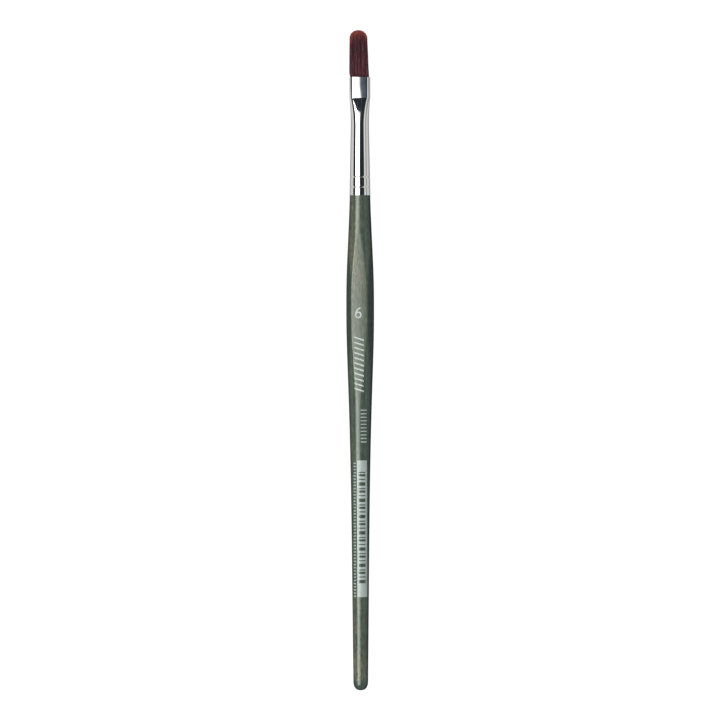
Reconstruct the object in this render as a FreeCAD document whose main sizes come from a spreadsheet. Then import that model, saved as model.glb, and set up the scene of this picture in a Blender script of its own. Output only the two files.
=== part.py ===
"""A short-handled filbert paint brush, lying on the back flat of its grip.

Millimetres.  The row's X runs along the brush, with the tuft's tip at +X, and Z is up.
Each piece is drawn about a datum of its own: the centre of the handle's shoulder, where
the ferrule's rear edge seats, with x positive towards the tuft.  One Placement, bound to
the sheet, then sets every piece at its place on the surface that the brush lies on.
"""
import FreeCAD, Part
import math
import os

import Sketcher

VECTOR = FreeCAD.Vector
AXIAL = VECTOR(0, 0, 1)
CUBIC = 3

SIZES = {
    # handle: a turned birch stick, its outline one spline that these radii pull on
    "handle_length": 140.8,
    "neck_radius": 2.93,
    "neck_pull_at": 9.2,
    "neck_pull_radius": 3.13,
    "belly_pull_at": 27.6,
    "belly_pull_radius": 4.52,
    "waist_pull_at": 55.2,
    "waist_pull_radius": 3.32,
    "stem_pull_to_end": 58.0,
    "stem_pull_radius": 2.65,
    "tail_pull_to_end": 30.4,
    "tail_pull_radius": 2.39,
    "heel_pull_to_end": 12.0,
    "heel_pull_radius": 2.21,
    "heel_radius": 2.11,
    "dome_length": 2.8,
    "dome_fullness": 0.55,
    # grip: six flats planed into the belly, so that the brush does not roll
    "grip_half_thickness": 3.33,
    "grip_corner_radius": 4.06,
    "planer_reach": 9.0,
    # tang: the handle's nose inside the ferrule
    "tang_length": 11.7,
    "tang_nose_chamfer": 0.6,
    "glue_gap": 0.13,
    # ferrule: a seamless tube, pressed flat at its mouth
    "ferrule_length": 33.7,
    "ferrule_rear_radius": 2.98,
    "ferrule_round_radius": 2.59,
    "ferrule_wall": 0.25,
    "mouth_width": 5.98,
    "mouth_thickness": 2.0,
    "mouth_flat_length": 5.9,
    "mouth_blend_length": 8.1,
    # crimps: two rolled grooves that grip the tang
    "crimp_inset": 2.33,
    "crimp_spacing": 2.91,
    "crimp_depth": 0.1,
    "crimp_roll_radius": 0.4,
    # tuft: a cupped filament bundle, tied at its root and cast in resin
    "tuft_length": 13.5,
    "tuft_root_length": 17.5,
    "tuft_tip_radius": 2.5,
    "tuft_tip_thickness": 0.5,
    "tuft_swell_thickness": 1.76,
    "tuft_swell_at": 4.5,
    "tuft_hinge_gap": 0.3,
    "thread_diameter": 0.28,
    "thread_turns": 6.0,
    "thread_pitch": 0.3,
    "thread_inset": 0.6,
    "resin_length": 2.5,
    "resin_collar_length": 0.5,
    "resin_collar_wall": 0.2,
    # foil: hot-stamped silver marks on the front of the handle
    "foil_thickness": 0.03,
    "numeral_at": 31.85,
    "numeral_offset": 0.29,
    "numeral_width": 1.9,
    "numeral_height": 3.1,
    "numeral_stroke": 0.36,
    "numeral_stem_radius": 2.3,
    "panel_at": 75.3,
    "panel_length": 38.8,
    "panel_left": 0.74,
    "panel_right": 2.01,
    "bar_margin": 0.45,
    "bar_module": 0.33,
    "bar_group_modules": 14.0,
    "bar_groups": 7.0,
    "hatch_at": 40.1,
    "hatch_pitch": 1.45,
    "hatch_count": 11.0,
    "hatch_stroke": 0.42,
    "hatch_left": 1.45,
    "hatch_right": 1.25,
    "hatch_slant": 0.9,
    "tick_at": 60.9,
    "tick_pitch": 1.0,
    "tick_count": 10.0,
    "tick_stroke": 0.3,
    "tick_left": -0.34,
    "tick_right": 1.95,
    "tick_slant": 0.0,
    "dash_at": 75.9,
    "dash_pitch": 0.9,
    "dash_count": 43.0,
    "dash_stroke": 0.4,
    "dash_left": 1.78,
    "dash_right": -1.15,
    "dash_slant": 0.0,
    # a running fit that keeps curved faces from sharing one surface
    "seat_gap": 0.02,
}
# one group of the panel's open bars, in modules from the group's start
BAR_STARTS = (0.0, 2.0, 6.0, 9.0)
BAR_WIDTHS = (1.0, 2.0, 1.0, 3.0)


class Size:
    """A number together with the sheet formula that gives it."""

    def __init__(self, number, formula=None):
        self.number = number
        self.formula = formula or f"{number}"

    def __add__(self, other):
        other = as_size(other)
        return Size(self.number + other.number, f"({self.formula} + {other.formula})")

    def __sub__(self, other):
        other = as_size(other)
        return Size(self.number - other.number, f"({self.formula} - {other.formula})")

    def __mul__(self, other):
        other = as_size(other)
        return Size(self.number * other.number, f"({self.formula} * {other.formula})")

    def __truediv__(self, other):
        other = as_size(other)
        return Size(self.number / other.number, f"({self.formula} / {other.formula})")

    def __neg__(self):
        return Size(-self.number, f"(-{self.formula})")


def as_size(value):
    """A plain number as a Size."""
    return value if isinstance(value, Size) else Size(value)


def root_of(size):
    """The square root of a Size."""
    return Size(math.sqrt(size.number), f"sqrt({size.formula})")


class Sheet:
    """The spreadsheet of driving sizes; its attributes are the sizes by name."""

    def __init__(self, document, sizes):
        self.sheet = document.addObject("Spreadsheet::Sheet", "Sizes")
        for row, (name, number) in enumerate(sizes.items(), start=1):
            self.sheet.set(f"A{row}", name)
            self.sheet.set(f"B{row}", f"{number}")
            self.sheet.setAlias(f"B{row}", name)
            setattr(self, name, Size(number, f"Sizes.{name}"))


# ---------------------------------------------------------------- sketching


def new_body(document, name):
    """An empty body whose label is its node's name."""
    body = document.addObject("PartDesign::Body", name)
    body.Label = name
    return body


def new_sketch(body, name, role, offset=None):
    """A sketch on one of the body's own origin planes, moved along its normal by offset."""
    plane = next(part for part in body.Origin.OriginFeatures if part.Role == role)
    sketch = body.newObject("Sketcher::SketchObject", name)
    sketch.AttachmentSupport = (plane, [""])
    sketch.MapMode = "FlatFace"
    if offset is not None:
        sketch.setExpression("AttachmentOffset.Base.z", offset.formula)
    return sketch


def hold(sketch, kind, item, end, size):
    """Hold one coordinate of a point of a sketch item to a size."""
    number = sketch.addConstraint(Sketcher.Constraint(kind, -1, 1, item, end, size.number))
    sketch.setExpression(f"Constraints[{number}]", size.formula)


def pin(sketch, item, end, place):
    """Hold a point of a sketch item to a place given as two sizes."""
    hold(sketch, "DistanceX", item, end, as_size(place[0]))
    hold(sketch, "DistanceY", item, end, as_size(place[1]))


def flat_point(place):
    """A place given as two sizes, as a plain vector."""
    return VECTOR(as_size(place[0]).number, as_size(place[1]).number, 0)


def add_line(sketch, start, end):
    """A straight line between two pinned places."""
    item = sketch.addGeometry(Part.LineSegment(flat_point(start), flat_point(end)), False)
    pin(sketch, item, 1, start)
    pin(sketch, item, 2, end)


def add_polyline(sketch, places):
    """Straight lines through pinned places, in order."""
    for start, end in zip(places, places[1:]):
        add_line(sketch, start, end)


def add_polygon(sketch, places):
    """A closed ring of straight lines through pinned places."""
    add_polyline(sketch, [*places, places[0]])


def add_arc(sketch, centre, start, end):
    """An arc, counter-clockwise from start to end about a pinned centre."""
    middle = flat_point(centre)
    first = flat_point(start) - middle
    last = flat_point(end) - middle
    circle = Part.Circle(middle, AXIAL, first.Length)
    turn_first = math.atan2(first.y, first.x)
    turn_last = math.atan2(last.y, last.x)
    item = sketch.addGeometry(Part.ArcOfCircle(circle, turn_first, turn_last), False)
    pin(sketch, item, 3, centre)
    pin(sketch, item, 1, start)
    if abs(last.y) > abs(last.x):
        hold(sketch, "DistanceX", item, 2, as_size(end[0]))
    else:
        hold(sketch, "DistanceY", item, 2, as_size(end[1]))


def add_circle(sketch, centre, radius):
    """A full circle about a pinned centre."""
    radius = as_size(radius)
    item = sketch.addGeometry(Part.Circle(flat_point(centre), AXIAL, radius.number), False)
    pin(sketch, item, 3, centre)
    number = sketch.addConstraint(Sketcher.Constraint("Radius", item, radius.number))
    sketch.setExpression(f"Constraints[{number}]", radius.formula)


def add_spline(sketch, poles):
    """A clamped cubic spline whose poles are pinned."""
    spans = len(poles) - CUBIC
    knots = [step / spans for step in range(spans + 1)]
    repeats = [CUBIC + 1] + [1] * (spans - 1) + [CUBIC + 1]
    places = [flat_point(pole) for pole in poles]
    curve = Part.BSplineCurve()
    curve.buildFromPolesMultsKnots(places, repeats, knots, False, CUBIC)
    item = sketch.addGeometry(curve, False)
    sketch.exposeInternalGeometry(item)
    for number, pole in enumerate(poles, start=1):
        pin(sketch, item + number, 3, pole)


def add_racetrack(sketch, half_width, half_thickness):
    """A flat loop with round ends, across the brush: two lines and two half circles."""
    straight = half_width - half_thickness
    upper_left = (-straight, half_thickness)
    upper_right = (straight, half_thickness)
    lower_right = (straight, -half_thickness)
    lower_left = (-straight, -half_thickness)
    add_line(sketch, upper_right, upper_left)
    add_arc(sketch, (-straight, 0), upper_left, lower_left)
    add_line(sketch, lower_left, lower_right)
    add_arc(sketch, (straight, 0), lower_right, upper_right)


def add_quartered_circle(sketch, radius):
    """A circle about the axis in four arcs, to match a racetrack's four edges in a loft."""
    reach = radius * root_of(Size(0.5))
    corners = [(reach, reach), (-reach, reach), (-reach, -reach), (reach, -reach)]
    for start, end in zip(corners, corners[1:] + corners[:1]):
        add_arc(sketch, (0, 0), start, end)


# ---------------------------------------------------------------- features


def turn(body, name, sketch, kind="Revolution"):
    """Turn a sketch about the brush's axis, adding (Revolution) or cutting (Groove)."""
    feature = body.newObject(f"PartDesign::{kind}", name)
    feature.Profile = sketch
    feature.ReferenceAxis = (sketch, ["H_Axis"])
    feature.Angle = 360
    return feature


def extrude(body, name, sketch, length, kind="Pad", backwards=False, both_ways=False):
    """Extrude a sketch by a length, adding (Pad) or cutting (Pocket)."""
    feature = body.newObject(f"PartDesign::{kind}", name)
    feature.Profile = sketch
    feature.setExpression("Length", length.formula)
    feature.Reversed = backwards
    if both_ways:
        feature.SideType = "Symmetric"
    return feature


def loft(body, name, start, end, kind="AdditiveLoft"):
    """A straight-sided loft between two sketches."""
    feature = body.newObject(f"PartDesign::{kind}", name)
    feature.Profile = start
    feature.Sections = [end]
    feature.Ruled = True
    return feature


def repeat(body, name, feature, sketch, pitch, count):
    """Repeat a feature towards the butt end, at a pitch, until there are count of it."""
    pattern = body.newObject("PartDesign::LinearPattern", name)
    pattern.Originals = [feature]
    pattern.Direction = (sketch, ["H_Axis"])
    pattern.Reversed = True
    pattern.setExpression("Length", (pitch * (count - 1)).formula)
    pattern.setExpression("Occurrences", count.formula)
    body.Tip = pattern
    return pattern


def check_volume(document, body, sign, text):
    """Recompute and stop unless the body has grown (sign 1) or shrunk (sign -1)."""
    before = 0.0 if body.Shape.isNull() else body.Shape.Volume
    document.recompute()
    if (body.Shape.Volume - before) * sign <= 0:
        raise RuntimeError(f"{body.Label}: {text} had no effect")


# ---------------------------------------------------------------- shared outlines


def crease_at(size):
    """Where the flat mouth ends and the blend to round begins."""
    return size.ferrule_length - size.mouth_flat_length


def round_at(size):
    """Where the ferrule becomes round, seen from its mouth."""
    return crease_at(size) - size.mouth_blend_length


def cone_radius(size, place):
    """The ferrule's outer radius at a place in its round part."""
    slope = (size.ferrule_rear_radius - size.ferrule_round_radius) / round_at(size)
    return size.ferrule_rear_radius - slope * place


def crimp_places(size):
    """The two crimps' places, the rear one first."""
    return (size.crimp_inset, size.crimp_inset + size.crimp_spacing)


def tang_radius(size, place):
    """The tang's radius at a place: the bore less the glue's thickness."""
    return cone_radius(size, place) - size.ferrule_wall - size.glue_gap


def outline_poles(size, lift=0):
    """The poles of the handle's turned outline, lifted off it by a distance."""
    length = size.handle_length
    poles = [
        (Size(0.0), size.neck_radius),
        (-size.neck_pull_at, size.neck_pull_radius),
        (-size.belly_pull_at, size.belly_pull_radius),
        (-size.waist_pull_at, size.waist_pull_radius),
        (size.stem_pull_to_end - length, size.stem_pull_radius),
        (size.tail_pull_to_end - length, size.tail_pull_radius),
        (size.heel_pull_to_end - length, size.heel_pull_radius),
        (size.dome_length - length, size.heel_radius),
    ]
    return [(place, radius + lift) for place, radius in poles]


def flattened_core(body, size, inset, cutting=False):
    """The ferrule's flat mouth and its blend to round, drawn in by an inset, added or cut."""
    half_width = size.mouth_width / 2 - inset
    half_thickness = size.mouth_thickness / 2 - inset
    word = "bore" if cutting else "core"
    mouth = new_sketch(body, f"{word}_mouth", "YZ_Plane", crease_at(size))
    add_racetrack(mouth, half_width, half_thickness)
    circle = new_sketch(body, f"{word}_round", "YZ_Plane", round_at(size))
    add_quartered_circle(circle, size.ferrule_round_radius - inset)
    kinds = ("SubtractiveLoft", "Pocket") if cutting else ("AdditiveLoft", "Pad")
    loft(body, f"{word}_blend", mouth, circle, kinds[0])
    extrude(body, f"{word}_flat", mouth, size.mouth_flat_length, kinds[1], backwards=cutting)


# ---------------------------------------------------------------- the pieces


def plane_flats(document, body, size, lift):
    """Plane the six grip flats, lifted outwards by a distance, along the whole stick."""
    flats = new_sketch(body, "grip_section", "YZ_Plane")
    reach = size.planer_reach
    add_polygon(flats, [(reach, reach), (-reach, reach), (-reach, -reach), (reach, -reach)])
    thick = size.grip_half_thickness + lift
    wide = size.grip_corner_radius + lift
    edge = root_of(wide * wide - thick * thick)
    add_polygon(flats, [
        (wide, 0), (edge, thick), (-edge, thick), (-wide, 0), (-edge, -thick), (edge, -thick),
    ])
    extrude(body, "grip_flats", flats, size.handle_length, "Pocket")
    check_volume(document, body, -1, "planing the grip flats")


def make_handle(document, size):
    """The turned stick with its tang, its domed end and the planed grip flats."""
    body = new_body(document, "handle")
    sketch = new_sketch(body, "turned_outline", "XZ_Plane")
    poles = outline_poles(size)
    length = size.handle_length
    nose = size.tang_length
    neck = nose - size.tang_nose_chamfer
    nose_radius = tang_radius(size, nose) - size.tang_nose_chamfer
    add_polyline(sketch, [
        (-length, 0),
        (nose, 0),
        (nose, nose_radius),
        (neck, tang_radius(size, neck)),
        (0, tang_radius(size, Size(0.0))),
        poles[0],
    ])
    add_spline(sketch, poles)
    dome_shoulder = size.dome_length * (Size(1.0) - size.dome_fullness) - length
    dome_full = size.heel_radius * size.dome_fullness
    add_spline(sketch, [
        poles[-1],
        (dome_shoulder, size.heel_radius),
        (-length, dome_full),
        (-length, 0),
    ])
    turn(body, "turned_stick", sketch)
    check_volume(document, body, 1, "the turned stick")
    plane_flats(document, body, size, Size(0.0))
    return body


def make_ferrule(document, size):
    """The plated tube: a round cone, a flat mouth, and two crimps rolled into the cone."""
    body = new_body(document, "ferrule")
    cone = new_sketch(body, "cone_outline", "XZ_Plane")
    front = round_at(size)
    add_polygon(cone, [
        (0, 0), (front, 0), (front, size.ferrule_round_radius), (0, size.ferrule_rear_radius),
    ])
    turn(body, "cone", cone)
    flattened_core(body, size, Size(0.0))
    check_volume(document, body, 1, "the outside")

    bore = new_sketch(body, "bore_outline", "XZ_Plane")
    wall = size.ferrule_wall
    add_polygon(bore, [
        (0, 0), (front, 0),
        (front, size.ferrule_round_radius - wall), (0, size.ferrule_rear_radius - wall),
    ])
    turn(body, "round_bore", bore, "Groove")
    flattened_core(body, size, wall, cutting=True)
    check_volume(document, body, -1, "the bore")

    ridges = new_sketch(body, "crimp_ridges", "XZ_Plane")
    for place in crimp_places(size):
        add_circle(ridges, (place, cone_radius(size, place) - size.crimp_depth), wall)
    turn(body, "crimp_ridge", ridges)
    check_volume(document, body, 1, "the crimp ridges")
    rolls = new_sketch(body, "crimp_rolls", "XZ_Plane")
    roll = size.crimp_roll_radius
    for place in crimp_places(size):
        add_circle(rolls, (place, cone_radius(size, place) + roll - size.crimp_depth), roll)
    turn(body, "crimp_groove", rolls, "Groove")
    check_volume(document, body, -1, "the crimp grooves")
    return body


def root_radius(size):
    """The bundle's radius where it is tied: the bore less the thread and its clearances."""
    bore = size.ferrule_round_radius - size.ferrule_wall
    return bore - size.thread_diameter - size.seat_gap * 2


def root_end(size):
    """Where the bundle's roots end inside the ferrule."""
    return size.ferrule_length - size.tuft_root_length


def make_tuft_root(document, size):
    """The part of the filament bundle that the ferrule holds, from mouth to root."""
    body = new_body(document, "tuft_root")
    flattened_core(body, size, size.ferrule_wall + size.seat_gap)
    tied = new_sketch(body, "tied_outline", "XZ_Plane")
    radius = root_radius(size)
    add_polygon(tied, [
        (root_end(size), 0), (round_at(size), 0),
        (round_at(size), radius), (root_end(size), radius),
    ])
    turn(body, "tied_root", tied)
    check_volume(document, body, 1, "the root bundle")
    return body


def make_binding_thread(document, size):
    """The thread wound round the roots, one strand in close turns."""
    body = new_body(document, "binding_thread")
    strand = new_sketch(body, "strand", "XZ_Plane")
    half = size.thread_diameter / 2
    start = root_end(size) + size.thread_inset + half
    add_circle(strand, (start, root_radius(size) + half + size.seat_gap), half)
    wrap = body.newObject("PartDesign::AdditiveHelix", "wraps")
    wrap.Profile = strand
    wrap.ReferenceAxis = (strand, ["H_Axis"])
    wrap.Mode = "pitch-turns-angle"
    wrap.setExpression("Pitch", size.thread_pitch.formula)
    wrap.setExpression("Turns", size.thread_turns.formula)
    check_volume(document, body, 1, "the winding")
    return body


def make_resin_plug(document, size):
    """The cast resin that holds the roots: a disc behind them and a collar round their end."""
    body = new_body(document, "resin_plug")
    sketch = new_sketch(body, "resin_outline", "XZ_Plane")
    front = root_end(size)
    rear = front - size.resin_length
    lip = front + size.resin_collar_length
    bore = size.ferrule_wall + size.seat_gap
    inner = root_radius(size) + size.seat_gap
    add_polygon(sketch, [
        (rear, 0), (front, 0), (front, inner), (lip, inner),
        (lip, inner + size.resin_collar_wall),
        (front, cone_radius(size, front) - bore),
        (rear, cone_radius(size, rear) - bore),
    ])
    turn(body, "resin", sketch)
    check_volume(document, body, 1, "the resin")
    return body


def make_tang_glue(document, size):
    """The glue film round the tang, in three rings, because the crimps squeeze it out."""
    body = new_body(document, "tang_glue")
    sketch = new_sketch(body, "film_outline", "XZ_Plane")
    gap = size.seat_gap
    clear = size.crimp_roll_radius
    rear_crimp, front_crimp = crimp_places(size)
    spans = [
        (gap, rear_crimp - clear),
        (rear_crimp + clear, front_crimp - clear),
        (front_crimp + clear, size.tang_length - size.tang_nose_chamfer),
    ]
    for rear, front in spans:
        add_polygon(sketch, [
            (rear, tang_radius(size, as_size(rear)) + gap),
            (front, tang_radius(size, front) + gap),
            (front, cone_radius(size, front) - size.ferrule_wall - gap),
            (rear, cone_radius(size, as_size(rear)) - size.ferrule_wall - gap),
        ])
    turn(body, "film", sketch)
    check_volume(document, body, 1, "the glue film")
    return body


def hinge_radius(size):
    """The rounded heel of the free tuft: half the bundle's thickness at the mouth."""
    return size.mouth_thickness / 2 - size.ferrule_wall - size.seat_gap


def hinge_at(size):
    """The line that the free tuft bends about, just outside the mouth."""
    return size.ferrule_length + size.tuft_hinge_gap + hinge_radius(size)


def make_tuft(document, size):
    """The free bundle: a filbert outline, swelling a little and then thinning to its tip."""
    body = new_body(document, "tuft")
    side = new_sketch(body, "side_outline", "XZ_Plane")
    heel = hinge_radius(size)
    hinge = hinge_at(size)
    mouth = size.ferrule_length
    tip = mouth + size.tuft_length
    swell = mouth + size.tuft_swell_at
    high = size.tuft_swell_thickness / 2
    thin = size.tuft_tip_thickness / 2
    add_arc(side, (hinge, 0), (hinge, heel), (hinge, -heel))
    add_polyline(side, [
        (hinge, -heel), (swell, -high), (tip, -thin), (tip, thin), (swell, high), (hinge, heel),
    ])
    half_width = size.mouth_width / 2 - size.ferrule_wall - size.seat_gap
    extrude(body, "wedge", side, half_width * 2, both_ways=True)
    check_volume(document, body, 1, "the wedge")

    plan = new_sketch(body, "plan_outline", "XY_Plane")
    reach = size.planer_reach
    far = tip + reach
    add_polygon(plan, [(hinge - reach, -reach), (far, -reach), (far, reach), (hinge - reach, reach)])
    round_from = tip - size.tuft_tip_radius
    round_half = size.tuft_tip_radius
    start = hinge - heel * 2
    add_polyline(plan, [
        (round_from, round_half), (hinge, half_width), (start, half_width),
        (start, -half_width), (hinge, -half_width), (round_from, -round_half),
    ])
    add_arc(plan, (round_from, 0), (round_from, -round_half), (round_from, round_half))
    extrude(body, "cupped_tip", plan, size.mouth_thickness * 2, "Pocket", both_ways=True)
    check_volume(document, body, -1, "cupping the tip")
    return body


def make_form(document, size, name, lift):
    """The handle's outer form without tang or dome, lifted off it by a distance."""
    body = new_body(document, name)
    sketch = new_sketch(body, "lifted_outline", "XZ_Plane")
    poles = outline_poles(size, lift)
    add_polyline(sketch, [(poles[-1][0], 0), (poles[0][0], 0), poles[0]])
    add_spline(sketch, poles)
    add_line(sketch, poles[-1], (poles[-1][0], 0))
    turn(body, "lifted_stick", sketch)
    check_volume(document, body, 1, "the lifted form")
    plane_flats(document, body, size, lift)
    return body


def make_foil_skin(document, size):
    """A foil's thickness all over the handle's outer form, for the marks to be cut from."""
    skin = document.addObject("Part::Cut", "foil_skin")
    skin.Base = make_form(document, size, "foil_outside", size.seat_gap + size.foil_thickness)
    skin.Tool = make_form(document, size, "foil_inside", size.seat_gap)
    document.recompute()
    return skin


def stamp(document, skin, cutter, name):
    """What a cutter keeps of the foil skin, as a piece of its own."""
    mark = document.addObject("Part::Common", name)
    mark.Label = name
    mark.Base = skin
    mark.Tool = cutter
    document.recompute()
    return mark


def make_size_numeral(document, size, skin):
    """A plain numeral for the brush's size: a ring with a curved stem, on the front flat."""
    cutter = new_body(document, "numeral_cutter")
    stroke = size.numeral_stroke
    bowl = size.numeral_width / 2
    level = bowl - size.numeral_at - size.numeral_height
    ring = new_sketch(cutter, "bowl", "XY_Plane")
    add_circle(ring, (level, size.numeral_offset), bowl)
    add_circle(ring, (level, size.numeral_offset), bowl - stroke)
    extrude(cutter, "numeral_bowl", ring, size.planer_reach)
    check_volume(document, cutter, 1, "the numeral's bowl")

    sweep = size.numeral_stem_radius
    inner = sweep - stroke
    side = size.numeral_offset + bowl - sweep
    rise = size.numeral_height - bowl
    lean = root_of(sweep * sweep - rise * rise)
    outer_top = (level + rise, side + lean)
    inner_top = (level + rise * inner / sweep, side + lean * inner / sweep)
    outer_foot = (level, side + sweep)
    inner_foot = (level, side + inner)
    stem = new_sketch(cutter, "stem", "XY_Plane")
    add_arc(stem, (level, side), outer_top, outer_foot)
    add_arc(stem, (level, side), inner_top, inner_foot)
    add_line(stem, outer_top, inner_top)
    add_line(stem, outer_foot, inner_foot)
    extrude(cutter, "numeral_stem", stem, size.planer_reach)
    check_volume(document, cutter, 1, "the numeral's stem")
    return stamp(document, skin, cutter, "size_numeral")


def make_stroke_row(document, size, skin, row, name):
    """A row of plain strokes stamped across the front of the handle, all alike."""
    cutter = new_body(document, f"{row}_cutter")
    sketch = new_sketch(cutter, "stroke", "XY_Plane")
    upper = -getattr(size, f"{row}_at")
    lower = upper - getattr(size, f"{row}_stroke")
    left = getattr(size, f"{row}_left")
    right = -getattr(size, f"{row}_right")
    slant = getattr(size, f"{row}_slant")
    add_polygon(sketch, [
        (upper, left), (upper - slant, right), (lower - slant, right), (lower, left),
    ])
    first = extrude(cutter, "first_stroke", sketch, size.planer_reach)
    check_volume(document, cutter, 1, "the first stroke")
    pitch = getattr(size, f"{row}_pitch")
    repeat(cutter, "row", first, sketch, pitch, getattr(size, f"{row}_count"))
    check_volume(document, cutter, 1, "the row of strokes")
    return stamp(document, skin, cutter, name)


def make_bar_panel(document, size, skin):
    """A foil panel wrapped on the round stem, with plain bars left open in it."""
    cutter = new_body(document, "panel_cutter")
    panel = new_sketch(cutter, "panel", "XY_Plane")
    front = -size.panel_at
    rear = front - size.panel_length
    left = size.panel_left
    right = -size.panel_right
    add_polygon(panel, [(front, left), (front, right), (rear, right), (rear, left)])
    extrude(cutter, "panel_block", panel, size.planer_reach)
    check_volume(document, cutter, 1, "the panel")
    bars = new_sketch(cutter, "bars", "XY_Plane")
    pitch = size.bar_module * size.bar_group_modules
    first = front - (size.panel_length - pitch * size.bar_groups) / 2
    for start, width in zip(BAR_STARTS, BAR_WIDTHS):
        upper = first - size.bar_module * start
        lower = upper - size.bar_module * width
        open_left = left - size.bar_margin
        open_right = right + size.bar_margin
        add_polygon(bars, [
            (upper, open_left), (upper, open_right), (lower, open_right), (lower, open_left),
        ])
    group = extrude(cutter, "bar_group", bars, size.planer_reach, "Pocket", backwards=True)
    check_volume(document, cutter, -1, "the first bars")
    repeat(cutter, "bar_groups", group, bars, pitch, size.bar_groups)
    check_volume(document, cutter, -1, "the other bars")
    return stamp(document, skin, cutter, "bar_panel")


def make_foil_marks(document, size):
    """The stamped marks, all cut from one skin."""
    skin = make_foil_skin(document, size)
    return [
        make_size_numeral(document, size, skin),
        make_stroke_row(document, size, skin, "hatch", "hatch_band"),
        make_stroke_row(document, size, skin, "tick", "tick_band"),
        make_stroke_row(document, size, skin, "dash", "dash_line"),
        make_bar_panel(document, size, skin),
    ]


MAKERS = (
    make_handle,
    make_ferrule,
    make_tuft_root,
    make_binding_thread,
    make_resin_plug,
    make_tang_glue,
    make_tuft,
)


def place_body(body, size):
    """Lay a piece with the brush on its back flat, centred along X."""
    head = size.ferrule_length + size.tuft_length
    body.setExpression("Placement.Base.x", ((size.handle_length - head) / 2).formula)
    body.setExpression("Placement.Base.z", size.grip_half_thickness.formula)


def check_document(document, bodies):
    """Stop if any object failed or any piece has no valid shape."""
    for item in document.Objects:
        if "Invalid" in item.State or "Error" in item.State:
            raise RuntimeError(f"{item.Name} is {item.State}")
    for body in bodies:
        if body.Shape.isNull() or not body.Shape.isValid():
            raise RuntimeError(f"{body.Label} has no valid shape")


def main():
    """Build the document, check it, and write one STEP file for each piece."""
    document = FreeCAD.newDocument("paint_brush")
    size = Sheet(document, SIZES)
    document.recompute()
    bodies = [make(document, size) for make in MAKERS]
    bodies += make_foil_marks(document, size)
    for body in bodies:
        place_body(body, size)
    document.recompute()
    check_document(document, bodies)
    os.makedirs("parts", exist_ok=True)
    for body in bodies:
        body.Shape.exportStep(f"parts/{body.Label}.step")
        print(f"{body.Label}: {body.Shape.Volume:.3f} mm3, {len(body.Shape.Solids)} solid(s)")


main()
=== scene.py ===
"""A short-handled filbert paint brush, finished around its packed model.

The file is laid out as an add-on: the settings that a user would change, one operator for
each piece or group of pieces and one for the stage, and a panel that lists them.  Run as a
script, it makes everything in order.  Lengths are metres.  X runs along the brush towards
the tuft's tip, Y across it and Z up from the surface that it lies on.
"""
import math

import bpy
import numpy as np
from mathutils import Matrix, Vector


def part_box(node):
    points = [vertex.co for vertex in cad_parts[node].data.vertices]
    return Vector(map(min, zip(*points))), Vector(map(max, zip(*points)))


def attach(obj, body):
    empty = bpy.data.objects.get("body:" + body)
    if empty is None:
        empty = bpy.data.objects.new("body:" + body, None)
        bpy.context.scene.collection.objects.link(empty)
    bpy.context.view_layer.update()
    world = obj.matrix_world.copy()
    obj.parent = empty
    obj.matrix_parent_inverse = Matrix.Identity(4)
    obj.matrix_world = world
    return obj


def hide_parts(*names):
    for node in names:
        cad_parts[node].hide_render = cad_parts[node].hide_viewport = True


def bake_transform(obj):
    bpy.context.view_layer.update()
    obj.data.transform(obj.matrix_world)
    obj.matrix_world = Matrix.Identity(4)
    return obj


bl_info = {
    "name": "Filbert Paint Brush",
    "version": (1, 0, 0),
    "blender": (4, 5, 0),
    "location": "3D View > Sidebar > Paint Brush",
    "description": "Handle, ferrule, tuft and foil marks of a short-handled filbert brush",
    "category": "Object",
}

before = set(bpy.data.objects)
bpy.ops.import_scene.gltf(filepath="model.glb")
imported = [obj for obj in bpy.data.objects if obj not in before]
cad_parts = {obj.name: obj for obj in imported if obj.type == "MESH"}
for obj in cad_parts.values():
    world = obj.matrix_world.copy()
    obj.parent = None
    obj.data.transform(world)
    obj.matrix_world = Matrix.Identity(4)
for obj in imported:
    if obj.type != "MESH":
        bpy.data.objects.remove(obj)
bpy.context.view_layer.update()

MM = 0.001
FERRULE_LOW, FERRULE_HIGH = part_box("ferrule")
HANDLE_LOW, HANDLE_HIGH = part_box("handle")
SHOULDER = FERRULE_LOW.x
MOUTH = FERRULE_HIGH.x
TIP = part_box("tuft")[1].x
BUTT = HANDLE_LOW.x
AXIS_HEIGHT = (FERRULE_LOW.z + FERRULE_HIGH.z) / 2
AXIS_POINT = Vector((0, 0, AXIS_HEIGHT))
ALONG = Vector((1, 0, 0))


# ---------------------------------------------------------------- settings


def length_setting(name, description, default):
    """A length that a user may change, in metres."""
    return bpy.props.FloatProperty(
        name=name, description=description, default=default, min=0, precision=5, unit="LENGTH"
    )


def angle_setting(name, description, default):
    """An angle that a user may change, given here in degrees."""
    return bpy.props.FloatProperty(
        name=name, description=description, default=math.radians(default), subtype="ANGLE"
    )


def colour_setting(name, description, default):
    """A colour that a user may change."""
    return bpy.props.FloatVectorProperty(
        name=name, description=description, default=default, size=3, min=0, max=1,
        subtype="COLOR",
    )


class HandleSettings(bpy.types.PropertyGroup):
    """The turned stick: its outline's belly and its planed flats."""

    belly_pull: length_setting(
        "Belly", "Radius of the outline's pull at the belly, before the flats", 4.52 * MM
    )
    grip_half: length_setting("Grip half", "Half the thickness between the wide flats", 3.33 * MM)
    grip_corner: length_setting("Grip corner", "Radius of the grip's side corners", 4.06 * MM)
    edge_softness: length_setting("Edge softness", "How far lacquer rounds the edges", 0.03 * MM)
    stain: colour_setting("Stain", "The green-grey stain in dense wood", (0.08, 0.124, 0.099))
    # warm serves the real thin stain and also painted light, warmer towards picture-left
    warm: colour_setting("Warm", "Where the stain is thin over pale wood", (0.24, 0.236, 0.15))
    # pale is painted light: the colour mixed onto the top flat
    pale: colour_setting("Pale", "The sanded wood of the flats", (0.17, 0.19, 0.125))


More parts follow.
